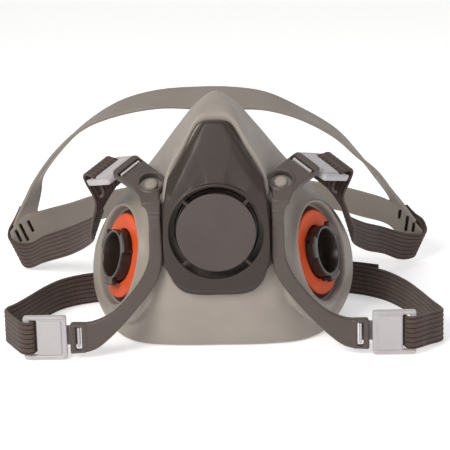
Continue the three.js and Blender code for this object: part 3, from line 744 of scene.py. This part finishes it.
def buckle(name, hook_wide, drop, matrix):
    """A ladder plate: x runs out from its hook, y behind, z across. drop tilts its hook, in degrees."""
    outline = rounded(rectangle(NEAR, FAR, -HALF_WIDE, HALF_WIDE), 1.6, 6)
    body = plate("body", outline, -1.3, 1.3, 0.6, matrix)
    cut(body, block("slot", (SLOT_NEAR, -6, -SLOT_HALF), (SLOT_FAR, 6, SLOT_HALF), matrix))
    window = rounded(rectangle(NEAR + 2.4, SLOT_NEAR - 0.2, -8.4, 8.4), 0.8, 4)
    pieces = [body, plate("window", window, -2.1, 0, 0.5, matrix)]
    for z in (-1, 1):  # the side rails stand a little proud
        rail = rounded(rectangle(NEAR + 1, FAR - 0.4, z * 9.0, z * 10.5), 0.5, 4)
        pieces.append(plate("rail", rail, -1.75, 0, 0.4, matrix))
    w = hook_wide / 2
    tilt = math.radians(-drop)
    c, s = math.cos(tilt), math.sin(tilt)
    hooked = matrix @ axes((c, s, 0), (-s, c, 0), (0, 0, 1), (0, 0, 0))
    pieces.append(block("tongue", (-0.6, 2.6, -w), (NEAR + 1.6, 3.8, w), hooked))
    riser_y = 1 if drop else -1.3
    pieces.append(block("riser", (NEAR, riser_y, -w), (NEAR + 1.6, 3.8, w), hooked))
    pieces.append(block("hook", (-0.6, -1.4, -w), (0.6, 3.8, w), hooked))
    return fused(joined(name, pieces), 0.28, 2)


def upper_buckle_frame(side):
    lean, angle, drop = math.radians(55), math.radians(END_TURN), math.radians(39)
    upward = np.array((0, math.sin(lean), math.cos(lean)))
    under = np.array((0, math.cos(lean), -math.sin(lean)))
    flat_out = np.array((1, 0, 0)) * math.cos(angle) + upward * math.sin(angle)
    across = -np.array((1, 0, 0)) * math.sin(angle) + upward * math.cos(angle)
    out = flat_out * math.cos(drop) + under * math.sin(drop)
    flip = np.array((side, 1, 1))
    slot_x, slot_s = on_end_plate(END_SLOT_P, 0)
    at = moved([(slot_x, 1.6, slot_s)], end_plate_frame())[0] * flip
    out, across = out * flip, across * flip * side
    return axes(out, np.cross(across, out), across, at)


for side, name in ((-1, "left"), (1, "right")):
    lower = axes((side, 0, 0), (0, 1, 0), (0, 0, side), (LOWER_SLOT_X * side, 6.1, 11.0))
    piece = buckle(f"lower_clip_{name}", 9.6, 0, lower)
    finished(piece, BUCKLE, f"lower_buckle_{name}_body", [f"lower_buckle_{name}"])
    piece = buckle(f"upper_clip_{name}", 12, 39, upper_buckle_frame(side))
    finished(piece, BUCKLE, f"upper_buckle_{name}_body", [f"upper_buckle_{name}"])

# ---- webbing -------------------------------------------------------------------------------
STRAP_WIDE, STRAP_THICK = 16.0, 1.6


def ribbed_section():
    """The webbing's cross-section: (across from 0 to 1, height off the middle)."""
    u = np.linspace(0, 1, RIBS * 6 + 1)
    rib = 0.5 + 0.5 * np.sin(2 * math.pi * RIBS * u - math.pi / 2)
    height = STRAP_THICK / 2 * (0.62 + 0.38 * np.sqrt(rib))
    height *= np.clip(np.minimum(u, 1 - u) * 40 + 0.45, 0, 1)
    face = list(zip(u, height))
    return face + [(a, -h) for a, h in reversed(face)]


def ribbon(name, edge_a, edge_b, section, steps):
    """A band between two edges, with u across it and v along it, in strap widths."""
    a, b = catmull(edge_a, steps), catmull(edge_b, steps)
    along = np.gradient((a + b) / 2, axis=0)
    normal = np.cross(along, b - a)
    normal /= np.linalg.norm(normal, axis=1, keepdims=True)
    length = np.concatenate([[0], np.cumsum(np.linalg.norm(np.diff((a + b) / 2, axis=0), axis=1))])
    section = np.asarray(section, float)
    rings = a[:, None] + (b - a)[:, None] * section[None, :, :1] + normal[:, None] * section[None, :, 1:]
    obj = loft(name, rings)
    n = len(section)
    layer = obj.data.uv_layers.new(name="UVMap")
    for loop_ in obj.data.loops:
        row, column = divmod(loop_.vertex_index, n)
        layer.data[loop_.index].uv = (section[column][0], length[row] / STRAP_WIDE)
    return obj


SECTION = ribbed_section()


def on_buckle(matrix, path, half=8.0):
    """Strap edges that follow (x, y) points of a buckle's own side view."""
    a = moved([(x, y, half) for x, y in path], matrix)
    b = moved([(x, y, -half) for x, y in path], matrix)
    return a.tolist(), b.tolist()


# An upper strap from its buckle towards the cradle: its top and bottom edges, right side.
UPPER_TOP = [(50, 57, 74), (54.5, 68, 65), (60, 82, 55)]
UPPER_BOTTOM = [(60.5, 51, 65.5), (63, 65, 53), (66.3, 82, 41)]
# The loop round the buckle's bar and the free tail, as (x, y) in the buckle's own side view.
OVER_BAR = [(21.2, 1.6), (21.6, 0.0), (22.4, -1.9), (24.6, -2.4), (28.3, -3.4), (31.6, -2.2), (33.0, 1.5)]
HANGING_TAIL = [(21.2, 1.5), (20.8, 3.0), (21.3, 5.8), (23.6, 8.4), (27.4, 9.6)]
# The rest of each upper strap, up to the cradle corner and through it.
UPPER_FAR = {
    "left": (
        [
            (-62, 98, 48), (-81.5, 130, 32.5), (-98.5, 149, 22.5), (-107.5, 157, 16.5),
            (-116, 162.2, 15.5), (-120.6, 166.6, 17.5), (-121, 170.4, 20.5), (-118, 173, 26),
            (-114.5, 174, 33),
        ],
        [
            (-67.5, 98, 32.5), (-82, 130, 16.8), (-100.5, 150, 6.5), (-108, 158.5, 1.6),
            (-111.5, 162.5, 0.9), (-113.6, 166.6, 2.6), (-112, 171, 7), (-107.5, 173.5, 14),
            (-103.5, 176, 21),
        ],
    ),
    "right": (
        [
            (62.5, 100, 44.5), (72, 122, 34), (84, 145, 25), (95, 155, 19), (102, 159, 17),
            (107, 162.4, 16.5), (108.6, 166, 18.5), (107, 168.6, 22.5), (102.5, 171, 25.8),
            (98.5, 172.6, 30),
        ],
        [
            (66.5, 100, 29), (74, 122, 18.4), (84.5, 146, 9.5), (93, 156.5, 3.5), (98, 160.3, 2.4),
            (101.4, 163.6, 2.8), (102.2, 167.2, 5.4), (99, 170.2, 10.5), (94.5, 172.4, 17),
            (89.5, 174.5, 26),
        ],
    ),
}
for side, name in ((-1, "left"), (1, "right")):
    flip = (lambda points: mirrored(points)) if side < 0 else (lambda points: list(points))
    f = upper_buckle_frame(side)
    loop_a, loop_b = on_buckle(f, OVER_BAR)
    if side < 0:
        loop_a, loop_b = loop_b, loop_a
    far_a, far_b = UPPER_FAR[name]
    top, bottom = flip(UPPER_TOP), flip(UPPER_BOTTOM)
    near_a, near_b = loop_a + top + [far_a[0]], loop_b + bottom + [far_b[0]]
    near = ribbon(f"upper_webbing_near_{name}", near_a, near_b, SECTION, 150)
    finished(near, WEBBING, None, [f"upper_strap_{name}"])
    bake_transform(near)
    far = ribbon(f"upper_webbing_far_{name}", [top[-1]] + far_a, [bottom[-1]] + far_b, SECTION, 220)
    finished(far, WEBBING, None, [])
    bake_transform(far)
    tail_a, tail_b = on_buckle(f, HANGING_TAIL)
    tail = ribbon(f"upper_webbing_tail_{name}", tail_a, tail_b, SECTION, 60)
    finished(tail, WEBBING, f"upper_buckle_{name}_body", [])

# A lower strap's route: [x, y, height of its lower edge].
LOWER_ROUTES = {
    "left": [
        (-86.6, 9.6, 3.0), (-87.4, 7.4, 3.0), (-88.2, 4.9, 3.0), (-90.6, 3.9, 3.0), (-93.4, 6.4, 2.9),
        (-96.6, 13.6, 2.2), (-100.8, 24, 1.3), (-104.2, 33, 0.7), (-103.8, 38, 0.5), (-101.2, 43, 0.4),
        (-96, 56, 0.3), (-89.2, 73.5, 0.3), (-82, 86, 0.3), (-70.5, 94.5, 0.3), (-50, 99.8, 0.3),
        (-30, 102, 0.3), (-16.5, 102.6, 0.3), (-10.4, 102.4, 0.3), (-8.6, 101.0, 0.3),
        (-10.4, 99.8, 0.3), (-18, 99.6, 0.3), (-40, 98.4, 0.3), (-62, 95.0, 0.3),
    ],
    "right": [
        (86.6, 9.6, 3.0), (87.4, 7.4, 3.0), (88.2, 4.9, 3.0), (90.6, 3.9, 3.0), (93.6, 6.0, 2.9),
        (98.4, 12.4, 2.2), (103.6, 18.6, 1.4), (105.6, 23, 0.9), (105, 28, 0.6), (102.4, 37, 0.4),
        (97.5, 55, 0.3), (91.2, 74, 0.3), (80.5, 93, 0.3), (65, 104.5, 0.3), (45, 106.5, 0.3),
        (30, 104.8, 0.3), (22, 103.6, 0.3), (17.2, 103.2, 0.3), (15.0, 104.4, 0.3), (17, 105.8, 0.3),
        (30, 107, 0.4), (46, 108.7, 0.6), (66, 106.7, 0.8), (79, 99.5, 1.1),
    ],
}
for side, name in ((-1, "left"), (1, "right")):
    route = LOWER_ROUTES[name]
    lower_edge = [(x, y, z) for x, y, z in route]
    upper_edge = [(x, y, z + STRAP_WIDE) for x, y, z in route]
    strap = ribbon(f"lower_webbing_{name}", upper_edge, lower_edge, SECTION, 420)
    finished(strap, WEBBING, None, [f"lower_strap_{name}"])
    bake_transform(strap)


# ---- neck clasp ----------------------------------------------------------------------------
CATCH = (6.2, 103.0, 8.75)


def clasp_hook():
    f = axes((-1, 0, 0), (0, -1, 0), (0, 0, 1), CATCH)
    outline = rounded(rectangle(5.2, 19.2, -8.4, 8.4), 1.8, 6)
    body = plate("body", outline, -1.2, 1.2, 0.5, f)
    cut(body, block("slot", (12.9, -6, -6.4), (16.3, 6, 6.4), f))
    pieces = [
        body,
        block("tongue", (-0.6, 2.6, -4.5), (6.8, 3.8, 4.5), f),
        block("riser", (5.2, -1.2, -4.5), (6.8, 3.8, 4.5), f),
        block("hook", (-0.6, -1.4, -4.5), (0.6, 3.8, 4.5), f),
    ]
    return fused(joined("clasp_hook", pieces), 0.3, 2)


def clasp_eye():
    f = axes((1, 0, 0), (0, 1, 0), (0, 0, 1), CATCH)
    outline = rounded(rectangle(-3.6, 13.5, -8.4, 8.4), 1.8, 6)
    body = plate("body", outline, -1.2, 1.2, 0.5, f)
    catch = block("catch", (-1.6, -6, -6), (1.6, 6, 6), f)
    cut(body, catch, block("slot", (7.2, -6, -6.8), (10.4, 6, 6.8), f))
    return fused(joined("clasp_eye", [body]), 0.3, 2)


finished(clasp_hook(), HARD, "clasp_hook", ["neck_clasp_hook"])
finished(clasp_eye(), HARD, "mask", ["neck_clasp_eye"])

# ---- head cradle ---------------------------------------------------------------------------
# The edges of the cradle's two bands, left to right.
CROWN_NEAR = [
    (-118, 167.3, 23.5), (-115, 166.5, 30), (-110, 165, 39), (-104.9, 164, 48), (-91.8, 162.5, 65.2),
    (-75.8, 162, 78.6), (-56.8, 163, 85), (-34, 163.5, 88.3), (-15, 163.5, 87.4), (5.8, 163.5, 86.9),
    (21.9, 163.5, 86.1), (40.6, 163, 80.9), (59.3, 163, 70.6), (70.6, 163, 60.4), (81.8, 163, 50.6),
    (89.2, 163.5, 40.6), (96.8, 163.8, 31), (102.8, 164.3, 22.5),
]
CROWN_FAR = [
    (-107, 171, 22.5), (-104.5, 173, 32), (-102.8, 176, 40.5), (-101.8, 178.5, 48.2), (-93.2, 178, 60.6),
    (-77.3, 178, 76.6), (-57.6, 177, 89.4), (-38.3, 177, 95.1), (-15.4, 177, 96.8), (3.1, 177, 96.4),
    (22, 177, 93.2), (40.9, 177.5, 83.9), (59.7, 178, 71.7), (70.9, 178, 59.2), (81, 177, 45.6),
    (88, 175.5, 36), (92, 172.5, 28.5), (95, 170.5, 22),
]
REAR_TOP = [
    (-119.8, 167.2, 20), (-112.5, 168.5, 28), (-103, 171.5, 30.5), (-86.9, 180.5, 32.6),
    (-72, 188, 35.5), (-36, 196, 40.5), (-4, 198, 42), (32, 196, 41), (62.8, 186.5, 37.6),
    (76, 180, 35.5), (87, 173.5, 33), (97, 168.3, 27), (106.6, 164.4, 17),
]
REAR_BOTTOM = [
    (-119, 166.8, 14.5), (-110.5, 168.6, 11.4), (-104, 171, 14), (-89.8, 179.5, 17.6),
    (-73, 187.5, 20.5), (-36, 195.5, 24.5), (-4, 197.5, 26), (32, 195.5, 25.5), (60, 186.5, 24),
    (74, 180.5, 21.5), (88.5, 174, 18.3), (98, 168.2, 9.8), (105.4, 164.4, 11.5),
]
# A slot in a cradle corner: [x, y, z of its middle, length, turn in degrees].
CORNER_SLOTS = [
    (-115.2, 168, 17.5, 7.6, -22), (-112.1, 169, 19.3, 11, -22), (-108.4, 170, 22.4, 7.2, -22),
    (101.5, 166.3, 18.6, 5.6, 7), (98, 168, 20.6, 9.4, 7), (94.3, 169.5, 25.5, 5.6, 7),
]


def band_section(thick=2.0, wide=16.0):
    """A flat band's cross-section with rounded edges and a slight bead along both."""
    e = 0.8 / wide
    half = [(0.0, 0.25), (e * 0.4, 0.45), (e, 0.5), (3 * e, 0.46)]
    face = half + [(0.5, 0.44)] + [(1 - u, h) for u, h in reversed(half)]
    return [(u, thick * h) for u, h in face] + [(u, -thick * h) for u, h in reversed(face)]


def cradle():
    crown = ribbon("crown", CROWN_NEAR, CROWN_FAR, band_section(), 260)
    rear = ribbon("rear", REAR_TOP, REAR_BOTTOM, band_section(), 220)
    for band in (crown, rear):
        slots = []
        for x, y, z, long, angle in CORNER_SLOTS:
            slots.append(block("slot", (-0.75, -6, -long / 2), (0.75, 6, long / 2), turned(angle, (x, y, z))))
        cut(band, *slots)
    return fused(joined("cradle_bands", [crown, rear]), 0.42, 2)


finished(cradle(), CRADLE, "cradle", ["head_cradle"])

# ---- table, backdrop and light ---------------------------------------------------------------
def table():
    """A pale sheet that runs back and curves up behind."""
    rows = [(-3.0, 0.0), (1.2, 0.0), (1.5, 0.03), (1.75, 0.14), (1.95, 0.36), (2.05, 0.7), (2.1, 3.0)]
    points = [(x, y, z - 0.0003) for y, z in rows for x in (-4, 4)]
    faces = [(2 * i, 2 * i + 1, 2 * i + 3, 2 * i + 2) for i in range(len(rows) - 1)]
    mesh = bpy.data.meshes.new("table")
    mesh.from_pydata(points, [], faces)
    obj = bpy.data.objects.new("table", mesh)
    bpy.context.scene.collection.objects.link(obj)
    n = Nodes("table_paper", 0.9, {"Specular IOR Level": 0.1, "Emission Strength": 0.38})
    n.shader.inputs["Emission Color"].default_value = (1, 1, 1, 1)
    n.link(n.mix(n.noise(0.3, 3), (0.88, 0.88, 0.88), (0.92, 0.92, 0.92)), n.shader.inputs["Base Color"])
    mesh.materials.append(n.material)


table()


def softbox(name, at, towards, size, power, color=(1, 1, 1)):
    light = bpy.data.lights.new(name, "AREA")
    light.shape, light.size, light.energy, light.color = "SQUARE", size, power, color
    obj = bpy.data.objects.new(name, light)
    bpy.context.scene.collection.objects.link(obj)
    obj.location = at
    obj.rotation_euler = (Vector(towards) - Vector(at)).to_track_quat("-Z", "Y").to_euler()


softbox("key", (-0.55, -0.95, 0.75), (0, 0, 0.05), 0.6, 16, (1.0, 0.96, 0.91))
softbox("fill", (0.9, -0.7, 0.45), (0, 0, 0.05), 0.7, 3.6, (0.93, 0.91, 1.0))
softbox("top", (0.0, 0.35, 1.2), (0, 0.05, 0.05), 0.9, 2.5)
world = bpy.data.worlds.new("studio")
world.use_nodes = True
world.node_tree.nodes["Background"].inputs["Color"].default_value = (1, 1, 1, 1)
world.node_tree.nodes["Background"].inputs["Strength"].default_value = 0.24
bpy.context.scene.world = world
bpy.context.scene.view_settings.view_transform = "Standard"
